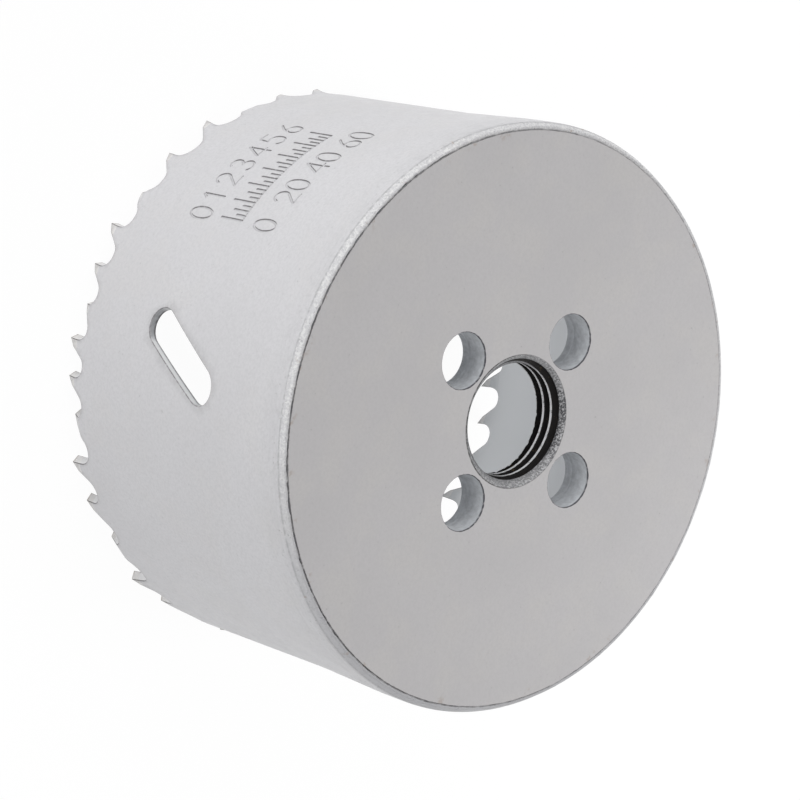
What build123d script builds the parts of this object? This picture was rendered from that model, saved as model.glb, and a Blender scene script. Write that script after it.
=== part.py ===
# Hole saw for 75 mm holes: a rolled, toothed shell welded round a threaded end plate.
# It stands on its tooth tips, with Z up along its axis and the origin at the centre of the tips.
# All sizes are in millimetres and all angles in degrees.

import os
from math import cos, degrees, pi, radians, sin, tan

from build123d import *

# Shell
CUT_DIAMETER = 75.0
HEIGHT = 44.5
WALL = 1.05

# Teeth: the steps from tip to tip along the shell, as shares of their mean, repeat until the
# rolled strip ends at its seam
MEAN_STEP = 5.8
STEP_SHARES = [
    0.81, 0.84, 0.90, 1.07, 1.0, 1.16, 1.22, 1.12, 1.02, 0.96, 0.90,
    0.81, 0.84, 0.90, 1.07, 1.0, 1.16, 1.22, 1.03, 1.02, 0.96, 0.90,
]
SHORTEST_SEAM_STEP = 4.2
FIRST_TOOTH_ANGLE = -163.9

# Tooth form, as shares of the step that it stands in
GULLET_DEPTH_RATIO = 0.53
GULLET_RADIUS_RATIO = 0.28
GULLET_MIDDLE_RATIO = 0.73
RELIEF_LENGTH_RATIO = 0.21
RELIEF_RISE_RATIO = 0.12
BACK_TOP_RATIO = 0.58
RAKE_ANGLE = 5.0

# Set: one tooth in three leans out, the next stands straight, and the third leans in
OUT_SET = 0.4
IN_SET = 0.95
BEND_BELOW_GULLET = 0.2
BLANK_ABOVE_GULLET = 1.2
BLANK_OVERLAP = 0.3

# Hard strip welded along the teeth, of which each tooth keeps a tip
TIP_HEIGHT = 1.2

# Slanted slots for clearing chips and prising out the core
SLOT_COUNT = 3
SLOT_LENGTH = 16.0
SLOT_WIDTH = 4.8
SLOT_SLANT = 58.2
SLOT_CENTRE_HEIGHT = 22.4
SLOT_START_ANGLE = -60.0

# End plate, pressed into the shell, which flares over it and is turned down at the weld
PLATE_THICKNESS = 4.3
PLATE_SPREAD = 0.5
PLATE_EDGE_BREAK = 0.2
FLARE_LENGTH = 11.5
WELD_WALL = 0.95
WELD_LAND = 5.0
RIM_BEVEL_HEIGHT = 0.9
RIM_BEVEL_WIDTH = 0.55

# Arbor bore, cut at the crests of its 5/8-18 thread, and the drive pin holes round it
THREAD_CREST_DIAMETER = 14.52
BORE_MOUTH_DIAMETER = 16.85
BORE_FAR_BREAK = 0.3
PIN_HOLE_COUNT = 4
PIN_HOLE_DIAMETER = 7.14
PIN_CIRCLE_DIAMETER = 25.4

# How far cutting tools run past the faces that they cut
RUN_OUT = 2.0

shell_radius = CUT_DIAMETER / 2 - OUT_SET
shell_bore_radius = shell_radius - WALL
plate_radius = shell_bore_radius + PLATE_SPREAD
plate_bottom = HEIGHT - PLATE_THICKNESS
weld_radius = plate_radius + WELD_WALL
tooth_steps = [MEAN_STEP * share for share in STEP_SHARES]
bend_height = GULLET_DEPTH_RATIO * min(tooth_steps) - BEND_BELOW_GULLET
blank_top = GULLET_DEPTH_RATIO * max(tooth_steps) + BLANK_ABOVE_GULLET


def radial_plane(angle, height=0.0):
    """A plane through the axis that looks out of the shell, with its X along the wall and its Y up."""
    outward = (cos(radians(angle)), sin(radians(angle)), 0)
    along = (-sin(radians(angle)), cos(radians(angle)), 0)
    return Plane(origin=(0, 0, height), x_dir=along, z_dir=outward)


def strip_teeth():
    """The angle of each tooth, with the step that leads to it and the step that follows it."""
    strip_length = 2 * pi * shell_radius
    places = [0.0]
    while True:
        next_place = places[-1] + tooth_steps[(len(places) - 1) % len(tooth_steps)]
        if next_place > strip_length - SHORTEST_SEAM_STEP:
            break
        places.append(next_place)
    places.append(strip_length)
    steps = [after - before for before, after in zip(places, places[1:])]
    angles = [FIRST_TOOTH_ANGLE + degrees(place / shell_radius) for place in places[:-1]]
    return [(angle, steps[i - 1], steps[i]) for i, angle in enumerate(angles)]


def tooth_blanks(teeth):
    """A radial block for each tooth, in the tooth's outline, out to the middle of both gullets."""
    with BuildPart() as blanks:
        for angle, before, after in teeth:
            rake_root = (GULLET_DEPTH_RATIO * before * tan(radians(RAKE_ANGLE)), GULLET_DEPTH_RATIO * before)
            back_root = (BACK_TOP_RATIO * after, GULLET_DEPTH_RATIO * after)
            left_end = (GULLET_MIDDLE_RATIO - 1) * before - BLANK_OVERLAP
            right_end = GULLET_MIDDLE_RATIO * after + BLANK_OVERLAP
            with BuildSketch(radial_plane(angle)):
                with BuildLine():
                    Polyline(
                        (0, 0),
                        (RELIEF_LENGTH_RATIO * after, RELIEF_RISE_RATIO * after),
                        back_root,
                        (right_end, back_root[1]),
                        (right_end, blank_top),
                        (left_end, blank_top),
                        (left_end, rake_root[1]),
                        rake_root,
                        close=True,
                    )
                outline = make_face()
                rake_corner = outline.vertices().sort_by_distance(rake_root)[0]
                back_corner = outline.vertices().sort_by_distance(back_root)[0]
                fillet(rake_corner, GULLET_RADIUS_RATIO * before)
                fillet(back_corner, GULLET_RADIUS_RATIO * after)
            extrude(amount=weld_radius + RUN_OUT)
    return blanks.part


def set_teeth(teeth, lean):
    """The teeth cut from a ring whose lower edge is bent outwards by this much, or inwards below zero."""
    with BuildPart() as toothed_ring:
        with BuildSketch(Plane.XZ):
            with BuildLine():
                Polyline(
                    (shell_bore_radius, blank_top),
                    (shell_bore_radius, bend_height),
                    (shell_bore_radius + lean, 0),
                    (shell_radius + lean, 0),
                    (shell_radius, bend_height),
                    (shell_radius, blank_top),
                    close=True,
                )
            make_face()
        revolve(axis=Axis.Z)
        add(tooth_blanks(teeth), mode=Mode.INTERSECT)
    return toothed_ring.part


all_teeth = strip_teeth()
out_teeth = set_teeth(all_teeth[0::3], OUT_SET)
straight_teeth = set_teeth(all_teeth[1::3], 0)
in_teeth = set_teeth(all_teeth[2::3], -IN_SET)

# Shell: the wall with its flare and slots, and the teeth down to the weld of the hard strip
with BuildPart() as saw_shell:
    with BuildSketch(Plane.XZ):
        with BuildLine():
            Polyline(
                (shell_radius, blank_top),
                (shell_radius, HEIGHT - WELD_LAND - FLARE_LENGTH),
                (weld_radius, HEIGHT - WELD_LAND),
                (weld_radius, HEIGHT - RIM_BEVEL_HEIGHT),
                (weld_radius - RIM_BEVEL_WIDTH, HEIGHT),
                (plate_radius, HEIGHT),
                (plate_radius, plate_bottom),
                (shell_bore_radius, plate_bottom - FLARE_LENGTH),
                (shell_bore_radius, blank_top),
                close=True,
            )
        make_face()
    revolve(axis=Axis.Z)
    for slot in range(SLOT_COUNT):
        with BuildSketch(radial_plane(SLOT_START_ANGLE + 360 / SLOT_COUNT * slot, SLOT_CENTRE_HEIGHT)):
            SlotOverall(SLOT_LENGTH, SLOT_WIDTH, rotation=SLOT_SLANT)
        extrude(amount=weld_radius + RUN_OUT, mode=Mode.SUBTRACT)
    add(out_teeth)
    add(straight_teeth)
    add(in_teeth)
    split(bisect_by=Plane.XY.offset(TIP_HEIGHT), keep=Keep.TOP)
saw_shell.part.label = "saw_shell"

# Tooth tips: the hard strip's remains, one on each tooth
with BuildPart() as tooth_tips:
    add(out_teeth)
    add(straight_teeth)
    add(in_teeth)
    split(bisect_by=Plane.XY.offset(TIP_HEIGHT), keep=Keep.BOTTOM)
tooth_tips.part.label = "tooth_tips"

# End plate: a disc with the chamfered arbor bore and the drive pin holes
with BuildPart() as end_plate:
    with BuildSketch(Plane.XZ):
        with BuildLine():
            Polyline(
                (THREAD_CREST_DIAMETER / 2, HEIGHT - (BORE_MOUTH_DIAMETER - THREAD_CREST_DIAMETER) / 2),
                (BORE_MOUTH_DIAMETER / 2, HEIGHT),
                (plate_radius - PLATE_EDGE_BREAK, HEIGHT),
                (plate_radius, HEIGHT - PLATE_EDGE_BREAK),
                (plate_radius, plate_bottom),
                (THREAD_CREST_DIAMETER / 2 + BORE_FAR_BREAK, plate_bottom),
                (THREAD_CREST_DIAMETER / 2, plate_bottom + BORE_FAR_BREAK),
                close=True,
            )
        make_face()
    revolve(axis=Axis.Z)
    with PolarLocations(PIN_CIRCLE_DIAMETER / 2, PIN_HOLE_COUNT):
        Hole(PIN_HOLE_DIAMETER / 2)
end_plate.part.label = "end_plate"

os.makedirs("parts", exist_ok=True)
export_step(saw_shell.part, "parts/saw_shell.step")
export_step(tooth_tips.part, "parts/tooth_tips.step")
export_step(end_plate.part, "parts/end_plate.step")
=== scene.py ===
"""The looks of the hole saw: its enamelled shell, set teeth, marks, welded rim and threaded plate."""
from math import cos, hypot, pi, radians, sin, tan

import bpy
import numpy as np
from mathutils import Matrix, Vector
from mathutils.geometry import delaunay_2d_cdt


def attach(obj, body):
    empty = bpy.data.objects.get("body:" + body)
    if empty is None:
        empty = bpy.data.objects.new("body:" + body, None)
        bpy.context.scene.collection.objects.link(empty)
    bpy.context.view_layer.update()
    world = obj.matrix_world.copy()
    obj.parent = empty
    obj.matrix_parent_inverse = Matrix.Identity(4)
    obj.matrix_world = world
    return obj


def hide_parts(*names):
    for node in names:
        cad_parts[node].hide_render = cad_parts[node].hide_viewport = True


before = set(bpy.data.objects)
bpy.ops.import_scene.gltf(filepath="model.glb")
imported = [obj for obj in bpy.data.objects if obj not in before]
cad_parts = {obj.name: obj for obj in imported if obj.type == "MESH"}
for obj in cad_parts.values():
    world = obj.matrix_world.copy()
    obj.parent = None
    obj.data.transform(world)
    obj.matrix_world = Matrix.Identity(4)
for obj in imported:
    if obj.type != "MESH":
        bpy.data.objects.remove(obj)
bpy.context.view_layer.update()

# Sizes in millimetres and angles in degrees, as in the part's source. The strip from which the wall is
# rolled has s along it, from its seam, and z up.
MM = 0.001
SHELL_R = 37.1
BORE_R = 36.05
PLATE_R = 36.55
WELD_R = 37.5
HEIGHT = 44.5
PLATE_BOTTOM = 40.2
FLARE_START = 28.0
FLARE_END = 39.5
INNER_FLARE_START = 28.7
STRIP = 2 * pi * SHELL_R

# Teeth, in shares of the step that each stands in, and their set: out, straight and in by turns
MEAN_STEP = 5.8
STEP_SHARES = [
    0.81, 0.84, 0.90, 1.07, 1.0, 1.16, 1.22, 1.12, 1.02, 0.96, 0.90,
    0.81, 0.84, 0.90, 1.07, 1.0, 1.16, 1.22, 1.03, 1.02, 0.96, 0.90,
]
TOOTH_STEPS = [MEAN_STEP * share for share in STEP_SHARES]
SHORTEST_SEAM_STEP = 4.2
FIRST_TOOTH_ANGLE = -163.9
GULLET_DEPTH = 0.53
GULLET_RADIUS = 0.28
GULLET_MIDDLE = 0.73
RELIEF = (0.21, 0.12)
BACK_TOP = 0.58
RAKE_ANGLE = 5.0
SETS = (0.4, 0.0, -0.95)
BEND_HEIGHT = GULLET_DEPTH * min(TOOTH_STEPS) - 0.2
BEND_SOFTNESS = 0.3
TIP_HEIGHT = 1.2
# How far the inner edges of the teeth lie ahead of the outer ones, and where that fades out up the wall
TOOTH_SKEW = 0.57
SKEW_FADE = (4.4, 8.0)

# Slots, and the butt weld's faint dip in the outer and inner surface above the teeth
SLOT_ANGLES = (-60.0, 60.0, 180.0)
SLOT_LENGTH = 16.0
SLOT_WIDTH = 4.8
SLOT_SLANT = 58.2
SLOT_CENTRE = 22.4
SEAM_WIDTH = 0.55
SEAM_DIPS = {True: 0.05, False: 0.08}
SEAM_DIP_START = 3

# End plate: the bore with its thread, the chamfer at its mouth, and the pin holes
THREAD_CREST_R = 7.26
THREAD_ROOT_R = 7.9375
THREAD_PITCH = 25.4 / 18
THREAD_START = 0.96
MOUTH_R = 8.44
MOUTH_LIP = 0.05
FAR_BREAK = 0.04
FAR_NICKS = 0.07
PIN_R = 3.57
PIN_CIRCLE_R = 12.7
PIN_EDGE = 0.10

# Mesh make-up: rows, points round the axis, steps over a rounded edge, and spacings
TOP_ROW = 40.0
ROUND = 360
BORE_ROUND = 240
PIN_ROUND = 96
ARC_STEPS = 4
EDGE_STEP = 0.3
RAKE_STEP = 0.2
WELD_STEP = 0.4
SLOT_STEP = 0.6
BORE_STEP = 0.035
PIN_STEP = 0.11
PLATE_GRID = (1.8, 1.6)
BACK_ARC_POINTS = 9
RAKE_ARC_POINTS = 15
SLOT_END_POINTS = 27

# Rounding of the toothed edge by height, and the edge mask: above zero worn paint with painted shade along the
# edges, and painted shade at the slots' ends and inner edges; below zero cut walls painted lighter, a painted
# highlight
EDGE_ROUNDING = ([0.0, 0.4, TIP_HEIGHT], [0.07, 0.08, 0.11])
SLOT_ROUNDING = 0.12
EDGE_WEAR_AND_SHADE = 1.9
OUTLINE_WEAR_AND_SHADE = 0.35
CUT_HIGHLIGHT = -1.0
SLOT_CUT_HIGHLIGHT = -0.9
SLOT_END_SHADE = 0.55
SLOT_INNER_SHADE = 2.2
UP = np.array([0.0, 0.0, 1.0])


def unit(v):
    return v / np.maximum(np.linalg.norm(v, axis=-1, keepdims=True), 1e-12)


def inside(poly, points):
    """Which points lie in a closed polygon."""
    near = ((points > poly.min(axis=0)) & (points < poly.max(axis=0))).all(axis=1)
    x, y = points[near].T
    hit = np.zeros(len(x), bool)
    for (x0, y0), (x1, y1) in zip(poly, np.roll(poly, -1, axis=0)):
        if y0 != y1:
            hit ^= ((y0 > y) != (y1 > y)) & (x < (x1 - x0) * (y - y0) / (y1 - y0) + x0)
    near[near] = hit
    return near


def fillet(before, corner, after, radius, count):
    """The arc that rounds a corner of an outline."""
    b, c, a = (np.array(p, float) for p in (before, corner, after))
    u, v = unit(b - c), unit(a - c)
    half = np.arccos(np.clip(u @ v, -1, 1)) / 2
    reach = radius / np.tan(half)
    centre = c + unit(u + v) * radius / np.sin(half)
    a0, a1 = (np.arctan2(*(c + way * reach - centre)[::-1]) for way in (u, v))
    turn = (a1 - a0 + pi) % (2 * pi) - pi
    angles = a0 + turn * np.linspace(0, 1, count)
    return list(centre + radius * np.stack([np.cos(angles), np.sin(angles)], axis=1))


def along(p, q, step):
    """Points from p up to, but without, q."""
    p, q = np.array(p), np.array(q)
    n = max(1, int(round(hypot(*(q - p)) / step)))
    return [p + (q - p) * i / n for i in range(n)]


def waves(angle, parts):
    """A sum of waves round the axis, each with its count, phase and height."""
    return sum(height * np.sin(count * angle + phase) for count, phase, height in parts)


def round_axis(n):
    return 2 * pi * np.arange(n) / n


def around(r, angle, z):
    """Points about the axis."""
    return np.stack([r * np.cos(angle), r * np.sin(angle), z + 0 * angle], axis=-1)


# The toothed edge of the strip
def tooth_form(step):
    """One step of the toothed edge, from a tip to just before the next: points, corner flags, cut marks."""
    relief = np.array(RELIEF) * step
    back = np.array((BACK_TOP * step, GULLET_DEPTH * step))
    root = np.array((step + GULLET_DEPTH * step * tan(radians(RAKE_ANGLE)), GULLET_DEPTH * step))
    tip = np.array((step, 0.0))
    back_arc = fillet(relief, back, root, GULLET_RADIUS * step, BACK_ARC_POINTS)
    rake_arc = fillet(back, root, tip, GULLET_RADIUS * step, RAKE_ARC_POINTS)
    back_cut = relief + (back - relief) * (TIP_HEIGHT - relief[1]) / (back[1] - relief[1])
    clear = 0.03
    form = []

    def add(line, corner=False, mark=None):
        """Points of the edge, of which the first may be a corner or a cut."""
        form.extend((p, corner and i == 0, mark if i == 0 else None) for i, p in enumerate(line))

    add(along((0.0, 0.0), relief, EDGE_STEP), corner=True)
    add(along(relief, back_cut, EDGE_STEP), corner=True)
    add(along(back_cut, back_arc[0], EDGE_STEP), mark="back")
    add(back_arc)
    add([p for p in rake_arc if p[1] > TIP_HEIGHT + clear])
    if rake_arc[-1][1] > TIP_HEIGHT:
        rake_cut = (step + TIP_HEIGHT * tan(radians(RAKE_ANGLE)), TIP_HEIGHT)
        add(along(rake_arc[-1], rake_cut, EDGE_STEP)[1:])
        add(along(rake_cut, tip, RAKE_STEP), mark="rake")
    else:
        low = [i for i, p in enumerate(rake_arc) if p[1] <= TIP_HEIGHT][0]
        above, below = rake_arc[low - 1], rake_arc[low]
        add([above + (below - above) * (above[1] - TIP_HEIGHT) / (above[1] - below[1])], mark="rake")
        add(rake_arc[low:])
        add(along(rake_arc[-1], tip, RAKE_STEP)[1:])
    return form


def strip_teeth():
    """Where each tooth's tip is along the strip, the step after it, and the first one's way from the seam."""
    places = [0.0]
    while True:
        place = places[-1] + TOOTH_STEPS[(len(places) - 1) % len(TOOTH_STEPS)]
        if place > STRIP - SHORTEST_SEAM_STEP:
            break
        places.append(place)
    steps = np.diff(places + [STRIP])
    seam_to_first = (1 - GULLET_MIDDLE) * steps[-1]
    return np.array(places) + seam_to_first, steps, seam_to_first


tips, steps, seam_to_first = strip_teeth()
gullets = tips + GULLET_MIDDLE * steps
SEAM_ANGLE = radians(FIRST_TOOTH_ANGLE) - seam_to_first / SHELL_R


def on_strip(angle):
    """The place along the strip of an angle about the axis."""
    return ((radians(angle) - SEAM_ANGLE) % (2 * pi)) * SHELL_R


def edge_points():
    """The toothed edge from seam to seam: places, corner flags and cut marks."""
    last = tooth_form(steps[-1])
    split = GULLET_MIDDLE * steps[-1]
    root_height = GULLET_DEPTH * steps[-1]
    clear = 0.05
    rows = [((0.0, root_height), False, None)]
    rows += [((p[0] - split, p[1]), corner, mark) for p, corner, mark in last if p[0] > split + clear]
    for tip, step in zip(tips[:-1], steps[:-1]):
        rows += [((tip + p[0], p[1]), corner, mark) for p, corner, mark in tooth_form(step)]
    rows += [((tips[-1] + p[0], p[1]), corner, mark) for p, corner, mark in last if p[0] < split - clear]
    rows.append(((STRIP, root_height), False, None))
    return rows


def slot_points(angle):
    """A slot's edge, with the wall on its left, and how far each point is round the slot's ends."""
    r = SLOT_WIDTH / 2
    half = SLOT_LENGTH / 2 - r
    local = []
    for sign in (1, -1):
        for a in np.radians(np.linspace(90, -90, SLOT_END_POINTS)):
            local.append((sign * half + sign * r * cos(a), sign * r * sin(a)))
        local += along((sign * half, -sign * r), (-sign * half, -sign * r), SLOT_STEP)[1:]
    x, z = np.array(local).T
    c, s = cos(radians(SLOT_SLANT)), sin(radians(SLOT_SLANT))
    fade = 2.5
    ends = np.clip((np.abs(x) - half) / r * fade, 0, 1)
    return np.stack([on_strip(angle) + x * c - z * s, SLOT_CENTRE + x * s + z * c], axis=1), ends


# The wall's surfaces
def outer_radius(z):
    return np.interp(z, [0, FLARE_START, FLARE_END, HEIGHT], [SHELL_R, SHELL_R, WELD_R, WELD_R])


def inner_radius(z):
    return np.interp(z, [0, INNER_FLARE_START, PLATE_BOTTOM], [BORE_R, BORE_R, PLATE_R])


def lean(s, z):
    """How far the set moves the wall outwards."""
    tooth = np.searchsorted(gullets, np.minimum(s, STRIP - 1e-6)) % len(tips)
    below = BEND_HEIGHT - z
    soft = (below + BEND_SOFTNESS) ** 2 / (4 * BEND_SOFTNESS)
    bend = np.where(below > BEND_SOFTNESS, below, np.where(below > -BEND_SOFTNESS, soft, 0))
    return np.array(SETS)[tooth % len(SETS)] * bend / BEND_HEIGHT


def seam_dip(s, z):
    return np.exp(-((np.minimum(s, STRIP - s) / SEAM_WIDTH) ** 2)) * (z > SEAM_DIP_START)


def skew(z):
    return TOOTH_SKEW * np.interp(z, SKEW_FADE, (1.0, 0.0))


def ways(angle):
    """The directions out of the wall and along it."""
    return around(1, angle, 0), np.stack([-np.sin(angle), np.cos(angle), 0 * angle], axis=-1)


def wall_angle(s, z, depth):
    """The angle of points of the strip, at this share of the wall's thickness from its outer surface."""
    return SEAM_ANGLE + (s - skew(z) * depth) / SHELL_R


def place(s, z, r, depth):
    return around(r, wall_angle(s, z, depth), z)


# Generic marks: a plain scale of strokes and digits, pressed into the wall where the saw is marked
MARK_START_ANGLE = -87.6
MARK_WIDTH = 18.2
MARK_HEIGHT = 4.2
MARK_ROWS = (17.35, 23.6, 30.2)
MARK_STEPS = 6
MARK_MARGIN = 0.2
TICK_HEIGHTS = (1.0, 0.42, 0.68, 0.42)
DIGIT_WIDTH = 1.75
ONE_WIDTH = 1.5
DIGIT_GAP = 0.30
DIGIT_SPAN = 0.58
# A stroke's half width, the share of it that is its bank, and its depth
MARK_STROKE = 0.19
MARK_BANK = 0.65
MARK_DEPTH = 0.17
MARK_STEEPEST = 1.5 / MARK_BANK * MARK_DEPTH / MARK_STROKE
MARK_CHUNK = 1500


def ellipse(cx, cy, rx, ry, a0, a1, n):
    return [(cx + rx * cos(a), cy + ry * sin(a)) for a in np.radians(np.linspace(a0, a1, n))]


DIGITS = {
    "0": [ellipse(0.29, 0.5, 0.28, 0.5, 90, 450, 36)],
    "1": [[(0.10, 0.78), (0.32, 1.0), (0.32, 0.0)]],
    "2": [ellipse(0.29, 0.70, 0.27, 0.30, 165, -28, 18) + [(0.02, 0.0), (0.58, 0.0)]],
    "3": [ellipse(0.27, 0.76, 0.24, 0.24, 150, -80, 16) + ellipse(0.27, 0.26, 0.29, 0.26, 90, -150, 18)],
    "4": [[(0.44, 0.0), (0.44, 1.0), (0.0, 0.30), (0.60, 0.30)]],
    "5": [[(0.52, 1.0), (0.09, 1.0), (0.05, 0.56)] + ellipse(0.27, 0.32, 0.29, 0.32, 125, -150, 20)],
    "6": [[(0.46, 1.0), (0.22, 0.74), (0.06, 0.45)] + ellipse(0.30, 0.29, 0.27, 0.29, 160, 520, 30)],
}


def mark_strokes():
    """The marks' centre lines on the strip. They read with the teeth upwards."""
    start = on_strip(MARK_START_ANGLE)
    pitch = MARK_WIDTH / (MARK_STEPS + 2 * MARK_MARGIN)
    strokes = []

    def write(text, middle, base, width):
        gap = DIGIT_GAP * width
        total = len(text) * width + (len(text) - 1) * gap
        for i, digit in enumerate(text):
            left = middle - total / 2 + i * (width + gap)
            for line in DIGITS[digit]:
                strokes.append([(start - left - x / DIGIT_SPAN * width, base - y * MARK_HEIGHT) for x, y in line])

    for i in range(MARK_STEPS + 1):
        middle = (i + MARK_MARGIN) * pitch
        write(str(i), middle, MARK_ROWS[0], ONE_WIDTH if i == 1 else DIGIT_WIDTH)
        if i % 2 == 0:
            write(str(10 * i), middle, MARK_ROWS[2], DIGIT_WIDTH)
    for i in range(4 * MARK_STEPS + 1):
        at = start - (i / 4 + MARK_MARGIN) * pitch
        strokes.append([(at, MARK_ROWS[1]), (at, MARK_ROWS[1] - MARK_HEIGHT * TICK_HEIGHTS[i % 4])])
    strokes.append([(start - end * pitch, MARK_ROWS[1]) for end in (MARK_MARGIN, MARK_STEPS + MARK_MARGIN)])
    return strokes


def resample(line, step):
    line = np.array(line, float)
    total = np.concatenate([[0], np.cumsum(np.hypot(*np.diff(line, axis=0).T))])
    t = np.linspace(0, total[-1], max(2, int(round(total[-1] / step)) + 1))
    return np.stack([np.interp(t, total, line[:, k]) for k in (0, 1)], axis=1)


strokes = mark_strokes()
segments = np.array([(*a, *b) for line in strokes for a, b in zip(line, line[1:])])
mark_low = segments.reshape(-1, 2).min(axis=0) - 1
mark_high = segments.reshape(-1, 2).max(axis=0) + 1


def mark_depth(s, z):
    """The marks' depth at points of the strip, and its slopes along s and z."""
    depth, ds, dz = np.zeros((3, len(s)))
    at = np.stack([s, z], axis=1)
    near = np.flatnonzero(((at > mark_low) & (at < mark_high)).all(axis=1))
    a, b = segments[:, :2], segments[:, 2:]
    ab = b - a
    length2 = np.maximum((ab ** 2).sum(1), 1e-12)
    for chunk in np.array_split(near, max(1, len(near) // MARK_CHUNK)):
        p = at[chunk][:, None, :]
        t = np.clip(((p - a) * ab).sum(2) / length2, 0, 1)
        away = p - (a + t[..., None] * ab)
        distances = np.sqrt((away ** 2).sum(2))
        best = (np.arange(len(chunk)), distances.argmin(1))
        distance = distances[best]
        x = np.clip((distance / MARK_STROKE - (1 - MARK_BANK)) / MARK_BANK, 0, 1)
        depth[chunk] = MARK_DEPTH * (1 - x * x * (3 - 2 * x))
        slope = -MARK_DEPTH * 6 * x * (1 - x) / MARK_BANK / MARK_STROKE
        ds[chunk], dz[chunk] = (slope[:, None] * away[best] / np.maximum(distance, 1e-9)[:, None]).T
    return depth, ds, dz


def wall_surface(s, z, outer):
    """Points of the outer or inner surface with their normals."""
    def radius(s, z):
        return (outer_radius if outer else inner_radius)(z) + lean(s, z) - SEAM_DIPS[outer] * seam_dip(s, z)

    h = 0.03
    r = radius(s, z)
    rs = (radius(np.clip(s + h, 0, STRIP), z) - radius(np.clip(s - h, 0, STRIP), z)) / (2 * h)
    rz = (radius(s, z + h) - radius(s, z - h)) / (2 * h)
    if outer:
        depth, ds, dz = mark_depth(s, z)
        r, rs, rz = r - depth, rs - ds, rz - dz
    share = 0.0 if outer else 1.0
    out, tangent = ways(wall_angle(s, z, share))
    normal = unit(out - rs[:, None] * tangent - rz[:, None] * UP)
    return place(s, z, r, share), normal if outer else -normal


# Meshes
class Skin:
    """Points with their edge mask, and faces with a normal for each corner, gathered part by part."""

    def __init__(self):
        self.points, self.mask, self.faces, self.normals, self.on_tip = [], [], [], [], []
        self.count = 0

    def add_points(self, points, mask=0.0):
        """Adds points and gives the number of the first."""
        self.points.append(np.asarray(points, float))
        self.mask.append(np.broadcast_to(mask, len(points)).astype(float))
        self.count += len(points)
        return self.count - len(points)

    def add_face(self, ids, normals, on_tip=False):
        self.faces.append([int(i) for i in ids])
        self.normals.extend(normals)
        self.on_tip.append(bool(on_tip))

    def add_quads(self, ids, normals, flip=False):
        """Faces between rows of points that close round the axis."""
        size = len(ids[0])
        for k in range(len(ids) - 1):
            for j in range(size):
                m = (j + 1) % size
                quad = [(k, j), (k, m), (k + 1, m), (k + 1, j)]
                if flip:
                    quad.reverse()
                self.add_face([ids[row][i] for row, i in quad], [normals[row, i] for row, i in quad])

    def all_points(self):
        return np.concatenate(self.points)

    def piece(self, name, chosen):
        """A piece from the chosen faces alone."""
        corners = np.concatenate([[0], np.cumsum([len(face) for face in self.faces])])
        picked = np.flatnonzero(chosen)
        used = sorted({i for f in picked for i in self.faces[f]})
        new = {old: i for i, old in enumerate(used)}
        normals = np.array(self.normals, float)
        normals = np.concatenate([normals[corners[f]:corners[f + 1]] for f in picked])
        faces = [[new[i] for i in self.faces[f]] for f in picked]
        mesh = bpy.data.meshes.new(name)
        mesh.from_pydata((self.all_points()[used] * MM).tolist(), [], faces)
        mesh.polygons.foreach_set("use_smooth", np.ones(len(faces), bool))
        mesh.normals_split_custom_set(normals.tolist())
        layer = mesh.attributes.new("edge", "FLOAT", "POINT")
        layer.data.foreach_set("value", np.concatenate(self.mask)[used].astype(np.float32))
        mesh.update()
        piece = bpy.data.objects.new(name, mesh)
        bpy.context.scene.collection.objects.link(piece)
        return piece


def row_normals(rows):
    """Normals of a surface through rows of points that close round the axis."""
    p = np.array(rows)
    across = np.roll(p, -1, axis=1) - np.roll(p, 1, axis=1)
    return unit(np.cross(across, np.gradient(p, axis=0)))


def thin_out(points, taken, gap):
    """Those of the points that keep a distance from the taken ones and from each other."""
    cells = {}

    def key(p):
        return int(p[0] // gap), int(p[1] // gap)

    for p in taken:
        cells.setdefault(key(p), []).append(p)
    kept = []
    for p in points:
        i, j = key(p)
        close = any(
            (p[0] - q[0]) ** 2 + (p[1] - q[1]) ** 2 < gap * gap
            for di in (-1, 0, 1) for dj in (-1, 0, 1) for q in cells.get((i + di, j + dj), ())
        )
        if not close:
            cells.setdefault((i, j), []).append(p)
            kept.append(p)
    return kept


def triangulate(points, edges):
    """A constrained triangulation: its points, its triangles counter-clockwise, the place of each input point."""
    verts, _, tris, origin, _, _ = delaunay_2d_cdt([Vector(p) for p in points], edges, [], 0, 1e-6)
    xy = np.array([tuple(v) for v in verts])
    tris = np.array([t for t in tris if len(t) == 3])
    where = {old: new for new, olds in enumerate(origin) for old in olds}
    a, b, c = (xy[tris[:, k]] for k in range(3))
    area = (b[:, 0] - a[:, 0]) * (c[:, 1] - a[:, 1]) - (b[:, 1] - a[:, 1]) * (c[:, 0] - a[:, 0])
    tris[area < 0] = tris[area < 0][:, ::-1]
    return xy, tris[np.abs(area) > 1e-9], where


# The unrolled strip: its boundary with rounded edges
def edge_frames(points, closed):
    """Mitred ways into the material at each point, and the wall's way out on the lines before and after it."""
    after = unit(np.roll(points, -1, axis=0) - points)
    if not closed:
        after[-1] = after[-2]
    before = np.roll(after, 1, axis=0)
    if not closed:
        before[0] = after[0]
    n_after = np.stack([-after[:, 1], after[:, 0]], axis=1)
    n_before = np.stack([-before[:, 1], before[:, 0]], axis=1)
    mitre = (n_after + n_before) / (1 + (n_after * n_before).sum(1))[:, None]
    return mitre, -n_before, -n_after


def edge_loop(xy, corner, rounding, closed, middle, wall, inner_line):
    """An edge of the strip: its outline, rounding, masks and wall directions, and where its rounding ends."""
    mitre, n_before, n_after = edge_frames(xy, closed)
    return {"xy": xy, "corner": corner, "round": rounding, "closed": closed, "middle": middle, "wall": wall,
            "inside": inner_line, "mitre": mitre, "n_before": n_before, "n_after": n_after,
            "inner": xy + mitre * rounding[:, None]}


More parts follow.
